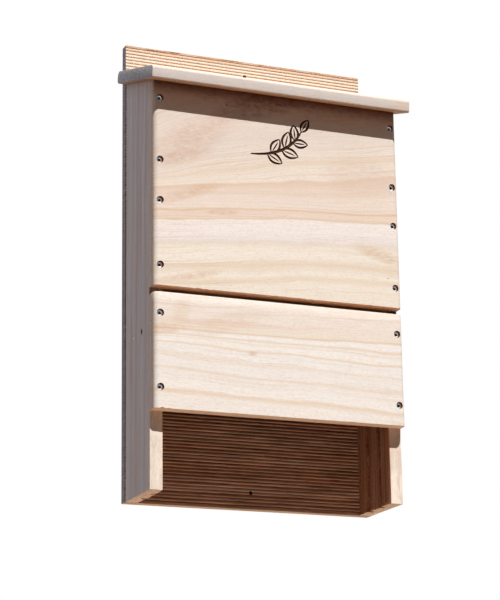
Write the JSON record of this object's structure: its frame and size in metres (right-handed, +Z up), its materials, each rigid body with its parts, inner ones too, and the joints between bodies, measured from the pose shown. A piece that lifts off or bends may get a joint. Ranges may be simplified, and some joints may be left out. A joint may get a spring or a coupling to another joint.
{
  "type": "bat box",
  "caption": "Wall-hung wooden bat box with a sloped roof, two front boards with a vent gap, kerfed back board and inner baffles, open at the bottom.",
  "frame": {"origin": "middle of the back face, halfway between the two mounting holes", "axes": "+Z up, +Y out of the back towards the wall or post, -Y is the front, +X to the viewer's right when facing the front"},
  "size_m": [0.343, 0.1397, 0.5842],
  "materials": {
    "kerfed_plywood": "raw sawn softwood plywood with horizontal saw kerfs",
    "side_board": "planed raw board, grain upright",
    "front_board": "planed raw board, grain across",
    "roof_wood": "planed raw board, grain across",
    "zinc_screw": "bright zinc plate",
    "bright_nail": "bright steel"
  },
  "bodies": {
    "root": {"back_board": "kerfed_plywood", "rear_baffle": "kerfed_plywood", "front_baffle": "kerfed_plywood", "left_side": "side_board", "right_side": "side_board", "lower_front_panel": "front_board", "upper_front_panel": "front_board", "roof_board": "roof_wood", "upper_panel_screws": "zinc_screw", "lower_panel_screws": "zinc_screw", "back_board_screws": "zinc_screw", "roof_screws": "zinc_screw", "baffle_nails": "bright_nail"}
  },
  "joints": []
}
